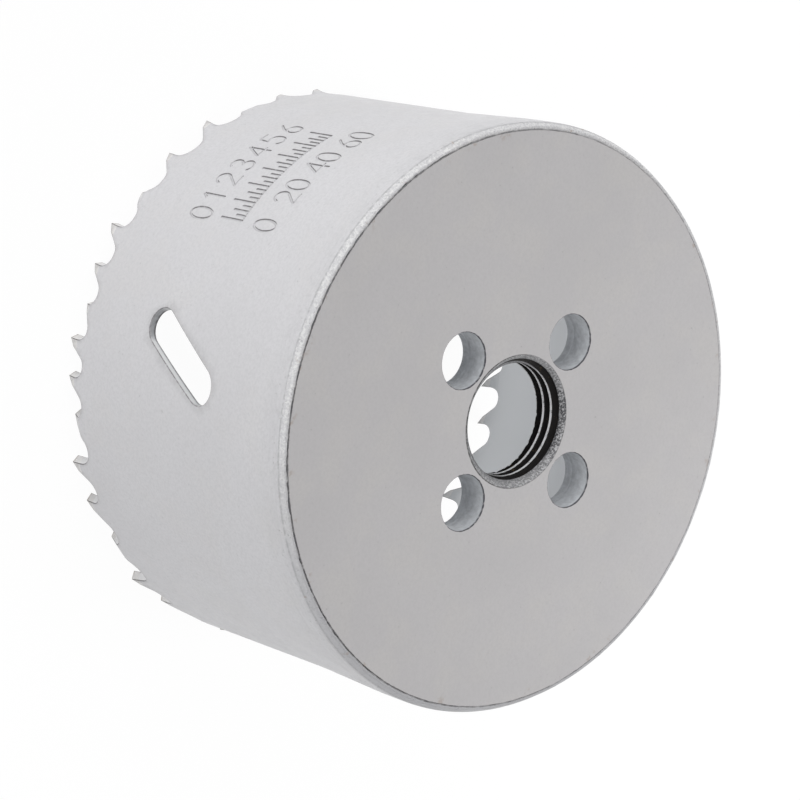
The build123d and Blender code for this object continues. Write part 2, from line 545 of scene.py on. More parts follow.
edge_xy, edge_corner, edge_cut = zip(*edge_points())
edge_xy, edge_corner = np.array(edge_xy), np.array(edge_corner)
cut_highlight = np.full(len(edge_xy), CUT_HIGHLIGHT)
edge_rounding = np.interp(edge_xy[:, 1], *EDGE_ROUNDING)
loops = [edge_loop(edge_xy, edge_corner, edge_rounding, False, 0.5, cut_highlight, cut_highlight)]
for slot_angle in SLOT_ANGLES:
    outline, ends = slot_points(slot_angle)
    size = len(outline)
    # Slots: straight cut walls painted lighter as a painted highlight, ends and inner edges painted darker as
    # painted shade
    loops.append(edge_loop(outline, np.zeros(size, bool), np.full(size, SLOT_ROUNDING), True, 0.6,
                           SLOT_END_SHADE * ends + SLOT_CUT_HIGHLIGHT * (1 - ends), np.full(size, SLOT_INNER_SHADE)))

# Where each tooth's hard tip starts and ends on the toothed edge
tip_ranges = []
start = None
for i, mark in enumerate(edge_cut):
    if mark == "rake":
        start = i
    if mark == "back" and start is not None:
        tip_ranges.append((start, i))
        start = None


def mark_points():
    """Points over the marks' strokes, their banks and their ends."""
    points = []
    for line in strokes:
        middle = resample(line, 0.2)
        way = unit(np.gradient(middle, axis=0))
        side = np.stack([-way[:, 1], way[:, 0]], axis=1)
        points += list(middle)
        for d in (0.065, 0.128, 0.19, 0.28):
            points += [p for k in (-1, 1) for p in middle + side * d * k]
        for end, way_out in ((middle[0], -way[0]), (middle[-1], way[-1])):
            points += [end + way_out * d for d in (0.06, 0.12, 0.2, 0.3)]
    return thin_out([tuple(p) for p in points], [], 0.046)


def field_points(side_z):
    """Points over the strip, each batch with the distance that it keeps from those before it."""
    def field(rows, step, shift):
        return [(s, z) for i, z in enumerate(rows) for s in np.arange(shift * (i % 2), STRIP, step)]

    beside = (-1.2, -0.8, -0.5, -0.25, 0.25, 0.5, 0.8, 1.2)
    seam = [(s + k, z) for s in (0.0, STRIP) for k in beside for z in side_z]
    flare = (27.7, FLARE_START, 28.35, INNER_FLARE_START, 29.1)
    rows = [*np.arange(7.0, 27.6, 1.05), *flare, *np.arange(30.1, 39.0, 1.05), FLARE_END]
    return (field(np.arange(0.15, 6.4, 0.42), 0.48, 0.21), 0.3), (seam, 0.22), (field(rows, 1.02, 0.5), 0.62)


def strip_mesh(outer):
    """The strip's outer or inner surface: points, triangles, the boundary's lines, and which triangles are tips."""
    points, edges = [], []

    def chain(line, closed=False):
        ids = list(range(len(points), len(points) + len(line)))
        points.extend(tuple(map(float, p)) for p in line)
        edges.extend(zip(ids, ids[1:]))
        if closed:
            edges.append((ids[-1], ids[0]))
        return ids

    toothed = loops[0]["inner"]
    loop_ids = [chain(loop["inner"], loop["closed"]) for loop in loops]
    side_z = np.arange(np.ceil(toothed[0, 1]), TOP_ROW, 1.0)
    sides = []
    for k, s in ((0, 0.0), (-1, STRIP)):
        sides.append(chain([(s, z) for z in side_z]))
        edges.append((loop_ids[0][k], sides[-1][0]))
    top = chain([(STRIP * i / ROUND, TOP_ROW) for i in range(ROUND + 1)])
    edges += [(sides[0][-1], top[0]), (sides[1][-1], top[-1])]
    welds = []
    for a, b in tip_ranges:
        q0, q1 = toothed[a], toothed[b]
        n = max(2, int(round(np.linalg.norm(q1 - q0) / WELD_STEP)))
        line = [q0 + (q1 - q0) * i / n for i in range(1, n)]
        ids = [loop_ids[0][a], *range(len(points), len(points) + len(line)), loop_ids[0][b]]
        points.extend(tuple(p) for p in line)
        edges.extend(zip(ids, ids[1:]))
        welds.append(ids)
    if outer:
        points += mark_points()
    for batch, gap in field_points(side_z):
        batch = np.array(batch)
        s, z = batch.T
        batch = batch[(s > 0.2) & (s < STRIP - 0.2) & (z < TOP_ROW - 0.4)]
        points += thin_out([tuple(p) for p in batch], points, gap)
    xy, tris, where = triangulate(points, edges)

    # Without the triangles outside the toothed edge and in the slots
    bounds = [0, *np.flatnonzero((edge_xy[:, 1] == 0.0) & edge_corner), len(toothed) - 1]
    voids = [loop["inner"] for loop in loops[1:]]
    for a, b in zip(bounds, bounds[1:]):
        voids.append(np.vstack([toothed[a:b + 1], [(toothed[b, 0], -2), (toothed[a, 0], -2)]]))
    for void in voids:
        tris = tris[~inside(void, xy[tris].mean(axis=1))]
    s, z = xy[tris].mean(axis=1).T
    is_tip = np.zeros(len(tris), bool)
    for a, b in tip_ranges:
        (s0, z0), (s1, z1) = toothed[a], toothed[b]
        is_tip |= (s > s0 - 1) & (s < s1 + 1) & (z < TIP_HEIGHT + 0.4) & (z < z0 + (z1 - z0) * (s - s0) / (s1 - s0))
    lines = {"loops": loop_ids, "sides": sides, "top": [top], "welds": welds}
    return xy, tris, {name: [[where[i] for i in ids] for ids in own] for name, own in lines.items()}, is_tip


# The rim's section: how far inside the weld's radius, how far below the top, and how much of the uneven melt
RIM_PROFILE = (
    (0, 3.7, 0), (0, 3.55, 0), (0.035, 3.48, 0), (0, 3.4, 0), (0, 2.1, 0), (0, 1.2, 0), (0.01, 1.02, 0),
    (0.05, 0.90, 0), (0.12, 0.78, 0), (0.30, 0.46, 0.3), (0.42, 0.24, 0.4), (0.485, 0.12, 0.4), (0.55, 0.045, 0.3),
    (0.68, 0.01, 0.2), (0.76, 0.02, 0.5), (0.82, 0.07, 1), (0.87, 0.14, 1), (0.92, 0.21, 0.3),
    (0.95, 0.28, 0), (0.95, 2.0, 0), (0.95, 4.3, 0),
)
RIM_WAVES = ((5, 0.03), (11, 0.03), (23, 0.035), (41, 0.03), (67, 0.02))
RIM_PITS = (37, 59, 83)
PLATE_WAVES = ((7, 0.012), (17, 0.015), (31, 0.02), (53, 0.02), (97, 0.02), (139, 0.018))
GROOVE_WAVES = (43, 61, 97, 143)
CLOSED_SIDE = radians(127)


def groove_share(angle):
    """How much of the groove round the end plate is left open, as the weld and the paint fill it unevenly."""
    ragged = 0.5 + 0.35 * waves(angle, [(k, k, 1) for k in GROOVE_WAVES])
    closed_side = np.abs(np.cos((angle - CLOSED_SIDE) / 2))
    return np.clip(ragged * (1 - 0.8 * closed_side), 0.1, 1.0)


def build_sheet(skin, outer):
    """The outer or inner surface, joined at the seam. Gives the numbers of its boundary's points."""
    xy, tris, lines, is_tip = strip_mesh(outer)
    points, normals = wall_surface(*xy.T, outer)
    mask = 0.0
    if outer:
        _, ds, dz = mark_depth(*xy.T)
        # Painted shade in the marks' grooves, darkest on the bank turned away from the key light, and a thin
        # outline of worn paint with painted shade round the toothed edge and the slots
        mask = (3.0 * np.maximum(ds - 0.3 * dz, 0) + 0.6 * np.hypot(ds, dz)) / MARK_STEEPEST
        for ids in lines["loops"]:
            mask[ids] = OUTLINE_WEAR_AND_SHADE
    base = skin.add_points(points, mask)
    joined = np.arange(len(xy))
    left, right = ([lines["loops"][0][k], *lines["sides"][k], lines["top"][0][k]] for k in (0, -1))
    joined[right] = left
    for tri, tip in zip(joined[tris if outer else tris[:, ::-1]], is_tip):
        skin.add_face(base + tri, normals[tri], tip)
    return {name: [base + joined[ids] for ids in own] for name, own in lines.items()}


def build_edge(skin, loop, first_ids, last_ids, on_tip):
    """The rounded edges and the cut wall between the two surfaces. Gives the numbers of all its points."""
    count = len(loop["xy"])
    fresh = count if loop["closed"] else count - 1
    rounding = loop["round"]
    rim_s, rim_z = np.clip(loop["inner"][:, 0], 0, STRIP), loop["inner"][:, 1]
    outer_points, outer_normals = wall_surface(rim_s, rim_z, True)
    inner_points, _ = wall_surface(rim_s, rim_z, False)
    r_out, r_in = (np.hypot(*points[:, :2].T) for points in (outer_points, inner_points))

    arc = np.linspace(0, pi / 2, ARC_STEPS + 1)
    columns = [(a, True) for a in arc[1:]] + [(None, True)] + [(a, False) for a in arc[:0:-1]]
    ids = np.zeros((count, len(columns) + 2), int)
    ids[:, 0], ids[:, -1] = first_ids, last_ids
    for k, (a, outer) in enumerate(columns, start=1):
        inset = 0 if a is None else rounding * (1 - np.sin(a))
        s, z = loop["xy"].T + loop["mitre"].T * inset
        slope = lean(rim_s, z) - lean(rim_s, rim_z)
        if a is None:
            r = r_out + (r_in - r_out) * loop["middle"] + slope
            mask = loop["wall"]
        else:
            sunk = rounding * (1 - np.cos(a))
            r = r_out - sunk + slope if outer else r_in + sunk + slope
            # Darker mid-rounding: worn paint with painted shade. At the cut wall: the loop's painted highlight or
            # painted shade
            mask = EDGE_WEAR_AND_SHADE * np.sin(2 * a) + loop["wall" if outer else "inside"] * (a == arc[-1])
        depth = np.clip((r_out + slope - r) / (r_out - r_in), 0, 1)
        ids[:fresh, k] = skin.add_points(place(s, z, r, depth)[:fresh], mask[:fresh]) + np.arange(fresh)
        ids[fresh:, k] = ids[0, k]

    # Normals turn from the outer surface over the cut wall, which is slanted by the skew, to the inner one
    s0, z0 = loop["xy"].T
    outward, tangent = ways(SEAM_ANGLE + s0 / SHELL_R)
    slanted = tangent - (skew(z0) / (SHELL_R - BORE_R))[:, None] * outward
    turn = np.concatenate([arc, [pi / 2], arc[::-1]])[:, None]
    side = np.repeat([1, 0, -1], [len(arc), 1, len(arc)])[:, None]
    smooth = unit(loop["n_before"] + loop["n_after"])

    def edge_normals(own):
        way = np.where(loop["corner"][:, None], own, smooth)
        wall = unit(way[:, :1] * slanted + way[:, 1:] * UP)
        return unit(wall[:, None] * np.sin(turn) + outer_normals[:, None] * np.cos(turn) * side)

    n_start, n_end = edge_normals(loop["n_after"]), edge_normals(loop["n_before"])
    for i in range(fresh):
        j = (i + 1) % count
        for k in range(ids.shape[1] - 1):
            skin.add_face(
                (ids[j, k], ids[i, k], ids[i, k + 1], ids[j, k + 1]),
                (n_end[j, k], n_start[i, k], n_start[i, k + 1], n_end[j, k + 1]),
                on_tip[i],
            )
    return ids


def build_rim(skin, first_ids, last_ids):
    """The flared top, its bevel and the rim, turned down to the seat of the end plate."""
    angle = SEAM_ANGLE + round_axis(ROUND)
    wander = waves(angle, [(k, 0.7 * k * k, height) for k, height in RIM_WAVES])
    pits = np.clip(waves(angle, [(k, 1.9 * k, 1) for k in RIM_PITS]) - 1.7, 0, 1) * 0.12
    rows = []
    for inset, drop, loose in RIM_PROFILE:
        r = WELD_R - inset + loose * (wander + pits) * (1 if inset > 0.5 else -0.6)
        in_groove = inset > 0.8 and drop < 0.4
        z = HEIGHT - drop * (groove_share(angle) if in_groove else 1) - loose * np.abs(wander) * 0.4
        rows.append(around(r, angle, z))
    first = skin.add_points(np.concatenate(rows))
    ids = [first_ids, *(first + k * ROUND + np.arange(ROUND) for k in range(len(rows))), last_ids]
    points = skin.all_points()[np.array(ids)]
    normals = row_normals(points)
    outward = unit(points * (1, 1, 0))
    normals[0], normals[-1] = outward[0], -outward[-1]
    skin.add_quads(ids, normals)


def build_wall():
    """The shell with its teeth as one skin, closed also where the hard tips part from it."""
    skin = Skin()
    sheets = {outer: build_sheet(skin, outer) for outer in (True, False)}
    edges = []
    for number, loop in enumerate(loops):
        on_tip = np.zeros(len(loop["xy"]), bool)
        if number == 0:
            for a, b in tip_ranges:
                on_tip[a:b] = True
        edges.append(build_edge(skin, loop, *(sheets[outer]["loops"][number] for outer in (True, False)), on_tip))
    build_rim(skin, *(sheets[outer]["top"][0][:-1] for outer in (True, False)))
    points = skin.all_points()
    for (a, b), outer_weld, inner_weld in zip(tip_ranges, sheets[True]["welds"], sheets[False]["welds"]):
        border = [*outer_weld, *edges[0][b, 1:-1], *inner_weld[::-1], *edges[0][a, -2:0:-1]]
        for tip, up in ((True, UP), (False, -UP)):
            middle = skin.add_points([points[border].mean(axis=0)])
            for i, j in zip(border, border[1:] + border[:1]):
                skin.add_face((i, j, middle) if tip else (j, i, middle), [up] * 3, tip)
    return skin


wall = build_wall()
shell = wall.piece("enamelled_shell", ~np.array(wall.on_tip))
tips_piece = wall.piece("hard_tips", wall.on_tip)


# The end plate: two faces, the wall between them, the threaded bore and the pin holes
def far_radius(angle):
    """The nicked edge of the bore on the plate's inner face."""
    nicks = waves(angle, [(23, 0, 1), (37, 1, 1), (59, 2, 1)])
    return THREAD_CREST_R + FAR_BREAK + FAR_NICKS * np.clip(nicks, 0, 2)


def bore_radius(angle, z):
    """The bore with its right-hand thread, the mouth's chamfer and the far edge's break."""
    phase = (z / THREAD_PITCH - angle / (2 * pi) + THREAD_START) % 1.0
    depth = THREAD_ROOT_R - THREAD_CREST_R
    root_half = THREAD_PITCH / 9
    flank = depth * tan(radians(30))
    away = np.abs(phase - 0.5) * THREAD_PITCH
    x = np.clip((root_half + flank - away) / flank, 0, 1)
    x = x * 0.9 + 0.1 * x * x * (3 - 2 * x)
    thread = THREAD_CREST_R + depth * x
    mouth = MOUTH_R - (HEIGHT - z)
    far = far_radius(angle) - (z - PLATE_BOTTOM)
    return np.maximum(np.maximum(thread, mouth), far)


def circle(r, n, cx=0.0, cy=0.0):
    a = round_axis(n)
    return np.stack([cx + r * np.cos(a), cy + r * np.sin(a)], axis=1)


def pin_wobble(number):
    """The unevenness of a pin hole's upper edge."""
    return waves(round_axis(PIN_ROUND), [(k, i * number, 0.012) for i, k in enumerate((11, 19, 31), start=1)])


def pin_profile(number):
    """A pin hole's section: radius and height down its rounded edges and faint tool rings, with its mask of worn
    paint and painted shade on the edges and just under the upper one.
    """
    arc = np.linspace(0, pi / 2, 5)
    edge = [(PIN_R + PIN_EDGE * (1 - sin(t)), PIN_EDGE * (1 - cos(t))) for t in arc]
    wall = []
    for z in np.arange(HEIGHT - 0.3, PLATE_BOTTOM + 0.3, -PIN_STEP):
        ripple = 0.006 * sin(z * 9.0 + number) + 0.007 * sin(z * 17.0 + 2 * number)
        ripple -= 0.035 * np.exp(-(((z - 41.5) / 0.14) ** 2)) + 0.015 * np.exp(-(((z - 42.7) / 0.12) ** 2))
        wall.append((PIN_R + ripple, z))
    profile = [(r, HEIGHT - d) for r, d in edge] + wall + [(r, PLATE_BOTTOM + d) for r, d in edge[::-1]]
    mask = [1.8 * sin(2 * t) for t in arc[:-1]] + [1.6] + [0.0] * len(wall) + [sin(2 * t) for t in arc]
    return profile, mask


def build_plate():
    """The end plate as one closed skin, from faces, outer wall, pin holes and bore."""
    skin = Skin()

    def add_band(line, rings, mask, n, centre=(0, 0), flip=False):
        """A wall through rings of points, of which the first and last lie on a line of the two faces."""
        rows = [np.column_stack([circle(r, n, *centre), np.full(n, z)]) for r, z in rings]
        fresh = [skin.add_points(row, value) + np.arange(n) for row, value in zip(rows[1:-1], mask[1:-1])]
        normals = -row_normals(rows) if flip else row_normals(rows)
        normals[0], normals[-1] = UP, -UP
        skin.add_quads([ends[True][line], *fresh, ends[False][line]], normals, flip)

    pins = [(PIN_CIRCLE_R * cos(a), PIN_CIRCLE_R * sin(a)) for a in (0, pi / 2, pi, 3 * pi / 2)]
    a_plate, a_bore = round_axis(ROUND), round_axis(BORE_ROUND)
    rim_r = PLATE_R - 0.07 + waves(a_plate, [(k, 1.3 * k, height) for k, height in PLATE_WAVES])
    far_edge = 0.12
    ends = {}
    for top in (True, False):
        z = HEIGHT if top else PLATE_BOTTOM
        lines = [circle(rim_r if top else PLATE_R - far_edge, ROUND),
                 circle(MOUTH_R + MOUTH_LIP if top else far_radius(a_bore) + FAR_BREAK, BORE_ROUND)]
        for number, centre in enumerate(pins):
            lines.append(circle(PIN_R + PIN_EDGE + (pin_wobble(number) if top else 0), PIN_ROUND, *centre))
        points, edges, ids = [], [], []
        for line in lines:
            own = list(range(len(points), len(points) + len(line)))
            points += [tuple(p) for p in line]
            edges += list(zip(own, own[1:] + own[:1]))
            ids.append(own)
        step_x, step_y = PLATE_GRID
        grid = [(x + step_x / 2 * (i % 2), y) for i, y in enumerate(np.arange(-36, 36, step_y))
                for x in np.arange(-36, 36, step_x)]
        points += [p for p in grid if MOUTH_R + 0.7 < hypot(*p) < PLATE_R - 1.2
                   and min(hypot(p[0] - x, p[1] - y) for x, y in pins) > PIN_R + 0.8]
        xy, tris, where = triangulate(points, edges)
        for k, line in enumerate(lines):
            tris = tris[inside(line, xy[tris].mean(axis=1)) == (k == 0)]
        base = skin.add_points(np.column_stack([xy, np.full(len(xy), z)]))
        for tri in tris if top else tris[:, ::-1]:
            skin.add_face(base + tri, [UP if top else -UP] * 3)
        ends[top] = [np.array([base + where[i] for i in own]) for own in ids]

    # The outer wall, seen only in the groove at the rim
    rings = [
        (rim_r, HEIGHT),
        (rim_r * (1 + 0.02 / PLATE_R), HEIGHT - 0.015),
        (rim_r * (1 + 0.03 / PLATE_R), HEIGHT - 0.06),
        (PLATE_R - 0.01, HEIGHT - 0.24 * groove_share(a_plate)),
        (PLATE_R - 0.005, 42.0),
        (PLATE_R - 0.005, PLATE_BOTTOM + far_edge),
        (PLATE_R - far_edge, PLATE_BOTTOM),
    ]
    # Its upper edge in the groove is darkened by the mask: worn paint with painted shade
    add_band(0, rings, (0, 0.6, 0.3, 0, 0, 0, 0), ROUND, flip=True)
    for number, centre in enumerate(pins):
        profile, mask = pin_profile(number)
        loose = np.maximum(1 - np.arange(len(profile)) / 5, 0)
        rings = [(r + part * pin_wobble(number), z) for (r, z), part in zip(profile, loose)]
        add_band(2 + number, rings, mask, PIN_ROUND, centre)
    heights = [HEIGHT, HEIGHT - 0.015, HEIGHT - 0.05, *np.arange(HEIGHT - 0.08, PLATE_BOTTOM + 0.03, -BORE_STEP),
               PLATE_BOTTOM + 0.02, PLATE_BOTTOM]
    radii = [bore_radius(a_bore, z) for z in heights]
    radii[0], radii[1], radii[-1] = MOUTH_R + MOUTH_LIP, MOUTH_R + 0.01, far_radius(a_bore) + FAR_BREAK
    add_band(1, list(zip(radii, heights)), [0.0] * len(radii), BORE_ROUND)
    return skin


plate_skin = build_plate()
plate = plate_skin.piece("threaded_plate", np.ones(len(plate_skin.faces), bool))

for piece, node, slot in (
    (shell, "saw_shell", "shell_enamel"),
    (tips_piece, "tooth_tips", "tip_steel"),
    (plate, "end_plate", "plate_enamel"),
):
    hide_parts(node)
    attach(piece, "root")


# Materials
class Nodes:
    """Short calls that add nodes to the tree of a material or world."""

    def __init__(self, owner):
        owner.use_nodes = True
        self.tree = owner.node_tree
        self.tree.nodes.clear()

    def add(self, kind, **settings):
        node = self.tree.nodes.new(kind)
        for key, value in settings.items():
            setattr(node, key, value)
        return node

    def put(self, value, socket):
        if isinstance(value, (int, float, tuple)):
            socket.default_value = value
        else:
            self.tree.links.new(value, socket)

    def fill(self, node, values):
        """Sets a node's first inputs and gives its first output."""
        for value, socket in zip(values, node.inputs):
            self.put(value, socket)
        return node.outputs[0]

    def set(self, node, values):
        """Sets a node's inputs by name and gives its first output."""
        for name, value in values.items():
            self.put(value, node.inputs[name])
        return node.outputs[0]

    def math(self, operation, *values):
        return self.fill(self.add("ShaderNodeMath", operation=operation), values)

    def joined(self, operation, values):
        result = values[0]
        for value in values[1:]:
            result = self.math(operation, result, value)
        return result

    def times(self, *values):
        return self.joined("MULTIPLY", values)

    def plus(self, *values):
        return self.joined("ADD", values)

    def ramp(self, value, low, high, to_low=0.0, to_high=1.0, kind="SMOOTHSTEP"):
        node = self.add("ShaderNodeMapRange", interpolation_type=kind)
        return self.fill(node, (value, low, high, to_low, to_high))

    def mix(self, share, a, b):
        node = self.add("ShaderNodeMix", data_type="RGBA")
        self.put(share, node.inputs[0])
        for value, socket in ((a, node.inputs[6]), (b, node.inputs[7])):
            self.put((*value, 1.0) if isinstance(value, tuple) else value, socket)
        return node.outputs[2]

    def tint(self, colour, target, *shares):
        """The colour turned to the target, by the product of the shares."""
        return self.mix(self.times(*shares), colour, target)

    def seen(self):
        """1 for the camera and for what it sees in gloss and glass, and 0 for the light on the object."""
        path = self.add("ShaderNodeLightPath")
        rays = ("Is Camera Ray", "Is Glossy Ray", "Is Transmission Ray")
        return self.joined("MAXIMUM", [path.outputs[ray] for ray in rays])


class Surface(Nodes):
    """The nodes of one material. Positions are the piece's own, in millimetres."""

    def __init__(self, name):
        self.material = bpy.data.materials.new(name)
        super().__init__(self.material)
        at = self.add("ShaderNodeTexCoord").outputs["Object"]
        self.at = self.set(self.add("ShaderNodeVectorMath", operation="SCALE"), {"Vector": at, "Scale": 1 / MM})
        split = self.add("ShaderNodeSeparateXYZ")
        self.put(self.at, split.inputs[0])
        self.x, self.y, self.z = split.outputs
        self.r = self.math("SQRT", self.plus(self.times(self.x, self.x), self.times(self.y, self.y)))
        self.edge = self.add("ShaderNodeAttribute", attribute_name="edge").outputs["Fac"]

    def noise(self, scale, detail=3.0, rough=0.5, stretch=None):
        at = self.at
        if stretch:
            at = self.set(self.add("ShaderNodeMapping"), {"Vector": at, "Scale": stretch})
        values = {"Vector": at, "Scale": scale, "Detail": detail, "Roughness": rough}
        return self.set(self.add("ShaderNodeTexNoise"), values)

    def patches(self, scale, detail, rough, low, high, to_low=0.0, to_high=1.0):
        """Noise, with everything under and over two levels made even."""
        return self.ramp(self.noise(scale, detail, rough), low, high, to_low, to_high)

    def towards(self, x, y):
        """How far a place lies in one direction across the axis."""
        return self.plus(self.times(self.x, x), self.times(self.y, y))

    def bump(self, height, strength, distance, normal=None):
        values = {"Strength": strength, "Distance": distance, "Height": height}
        if normal is not None:
            values["Normal"] = normal
        return self.set(self.add("ShaderNodeBump"), values)

    def finish(self, shader):
        self.put(shader, self.add("ShaderNodeOutputMaterial").inputs["Surface"])
        return self.material

    def enamel(self, colour, rough, normal, metallic=0.0):
        shader = self.add("ShaderNodeBsdfPrincipled")
        self.set(shader, {"Base Color": colour, "Roughness": rough, "Normal": normal, "Metallic": metallic,
                          "Specular IOR Level": ENAMEL_SPECULAR})
        return self.finish(shader.outputs[0])


ENAMEL_SPECULAR = 0.1
WALL_ENAMEL = (0.618, 0.615, 0.632)
INNER_ENAMEL = (0.600, 0.612, 0.625)
PLATE_ENAMEL = (0.570, 0.557, 0.564)
TIP_ENAMEL_WITH_HIGHLIGHT = (0.75, 0.740, 0.735)
CUT_WALL_HIGHLIGHT = (0.74, 0.738, 0.745)
PIN_WALL_SHADE = ((0.50, 0.52, 0.545), (0.40, 0.415, 0.435))
ENAMEL_WARM = (0.600, 0.583, 0.568)
SPECK = (0.30, 0.295, 0.29)
CRACK_SHADE = (0.145, 0.138, 0.142)
RUST = (0.33, 0.235, 0.165)
LAND_GREY = (0.44, 0.44, 0.45)
LAND_PIT = (0.27, 0.265, 0.26)
RING_GREY = (0.33, 0.33, 0.34)
BEVEL_SHADE = (0.42, 0.42, 0.44)
BEVEL_HIGHLIGHT = (0.80, 0.80, 0.79)
CHIP = (0.25, 0.25, 0.26)
WALL_WEAR_AND_SHADE = (0.21, 0.205, 0.21)
TIP_WEAR_AND_SHADE = (0.17, 0.165, 0.165)
WORN_POINT = (0.30, 0.265, 0.23)
PLATE_EDGE_WEAR_AND_SHADE = (0.085, 0.085, 0.095)
BORE_LIP_SHADE = (0.08, 0.08, 0.08)
CREST_STEEL = (0.55, 0.55, 0.56)
ROOT_SHADE = ((0.010, 0.009, 0.009), (0.055, 0.040, 0.022))
CHAMFER_DARK = ((0.015, 0.015, 0.018), (0.17, 0.17, 0.18))
CHAMFER_PALE = ((0.08, 0.08, 0.085), (0.54, 0.54, 0.55))
CHAMFER_LIT = ((0.36, 0.36, 0.37), (0.62, 0.62, 0.63))
CHAMFER_STREAK = (0.30, 0.30, 0.31)


def enamel_colour(n, base, warm_share, grain_share):
    """White enamel with soft blotches, a fine grain and tiny specks."""
    dim, dark = (tuple(share * c for c in base) for share in (0.94, 0.88))
    colour = n.tint(base, dim, n.patches(0.07, 2.0, 0.5, 0.35, 0.68), 0.45)
    colour = n.tint(colour, ENAMEL_WARM, n.patches(0.16, 2.0, 0.5, 0.42, 0.7), warm_share)
    colour = n.tint(colour, dark, n.patches(2.6, 4.0, 0.7, 0.35, 0.70), grain_share)
    return n.tint(colour, SPECK, n.patches(2.6, 2.0, 0.5, 0.735, 0.80), 0.45)


def shell_material():
    n = Surface("white_enamel_wall")
    colour = enamel_colour(n, WALL_ENAMEL, 0.2, 0.8)
    colour = n.tint(colour, INNER_ENAMEL, n.ramp(n.r, 36.9, 36.6), n.ramp(n.z, 40.0, 39.0))

    # The turned weld land: uneven and streaked, with pits and a few brown spots towards the rim
    land = n.ramp(n.z, 39.6, 43.8)
    colour = n.tint(colour, LAND_GREY, land, n.patches(1.1, 4.0, 0.65, 0.5, 0.75, 0.0, 0.5))
    below_bevel = n.ramp(n.math("ABSOLUTE", n.math("SUBTRACT", n.z, 43.76)), 0.02, 0.16, 1.0, 0.0)
    colour = n.tint(colour, RING_GREY, below_bevel, n.patches(1.8, 3.0, 0.6, 0.28, 0.60), 0.65)
    streaks = n.ramp(n.noise(1.3, 4.0, 0.65, stretch=(0.16, 0.16, 2.2)), 0.35, 0.65)
    colour = n.tint(colour, LAND_GREY, land, streaks, 0.22)
    colour = n.tint(colour, LAND_PIT, n.ramp(n.z, 41.2, 43.4), n.patches(2.3, 2.0, 0.5, 0.69, 0.74), 0.7)
    colour = n.tint(colour, RUST, n.ramp(n.z, 42.9, 44.0), n.patches(0.62, 3.0, 0.6, 0.655, 0.73), 0.55)

    # The rim's bevel, speckled: a painted highlight on one side of the saw and painted shade, greyer, on the other
    bevel = n.ramp(n.z, 43.72, 43.86)
    lit_side = n.towards(-0.8, -0.6)
    colour = n.tint(colour, BEVEL_SHADE, bevel, n.ramp(lit_side, -5.0, -30.0, 0.0, 0.5))
    speckled = n.patches(2.9, 4.0, 0.7, 0.44, 0.62, 0.0, 0.6)
    colour = n.tint(colour, BEVEL_HIGHLIGHT, bevel, speckled, n.ramp(lit_side, -22.0, 5.0, 0.1, 1.0))
    colour = n.tint(colour, CHIP, n.ramp(n.z, 43.6, 44.1), n.patches(3.6, 3.0, 0.65, 0.60, 0.68, 0.0, 0.55))

    # Painted shade in the crack between rim and plate, fainter on the far side
    ragged = n.plus(n.r, n.times(n.noise(4.5, 4.0, 0.7), 0.24))
    in_crack = n.times(n.ramp(ragged, 36.88, 36.78), n.ramp(n.z, 44.30, 44.48, 1.0, 0.8), n.ramp(n.z, 43.0, 43.3))
    near_side = n.ramp(n.towards(0.6, -0.8), -20.0, 40.0, 0.25, 1.0)
    colour = n.tint(colour, CRACK_SHADE, in_crack, near_side, n.patches(1.4, 3.0, 0.6, 0.34, 0.56, 0.35, 1.0))

    # Cut walls painted lighter as a painted highlight, and edges darkened by worn paint with painted shade, with
    # painted shade also in the marks' grooves and at the slots' ends and inner edges
    colour = n.mix(n.ramp(n.edge, 0.0, -0.9), colour, CUT_WALL_HIGHLIGHT)
    colour = n.tint(colour, WALL_WEAR_AND_SHADE, n.edge, n.patches(1.5, 3.0, 0.6, 0.28, 0.62, 0.25, 0.75))
    normal = n.bump(n.noise(1.15), 0.35, 0.00002)
    normal = n.bump(n.noise(3.2, 2.0, 0.5, stretch=(0.25, 0.25, 1.0)), 0.12, 0.00002, normal)
    normal = n.bump(n.times(n.noise(1.6, 3.0, 0.6, stretch=(0.35, 0.35, 2.4)), land), 0.8, 0.00004, normal)
    return n.enamel(colour, n.patches(0.5, 3.0, 0.5, 0.3, 0.7, 0.34, 0.46), normal)


def tip_material():
    n = Surface("worn_enamel_tips")
    # The tips' warm enamel, made lighter than the wall's as a painted highlight for the light their faces catch
    colour = enamel_colour(n, TIP_ENAMEL_WITH_HIGHLIGHT, 0.6, 0.8)
    point = n.ramp(n.plus(n.z, n.times(n.noise(1.3, 3.0, 0.6), 0.5)), 0.30, 0.52, 1.0, 0.0)
    colour = n.tint(colour, WORN_POINT, point, 0.6)
    # Edges darkened by worn paint with painted shade
    colour = n.tint(colour, TIP_WEAR_AND_SHADE, n.edge, n.patches(1.7, 3.0, 0.6, 0.25, 0.6, 0.45, 0.95))
    normal = n.bump(n.noise(1.6, 4.0, 0.55), 0.4, 0.00002)
    return n.enamel(colour, n.patches(0.9, 3.0, 0.5, 0.3, 0.7, 0.32, 0.48), normal, n.times(point, 0.5))


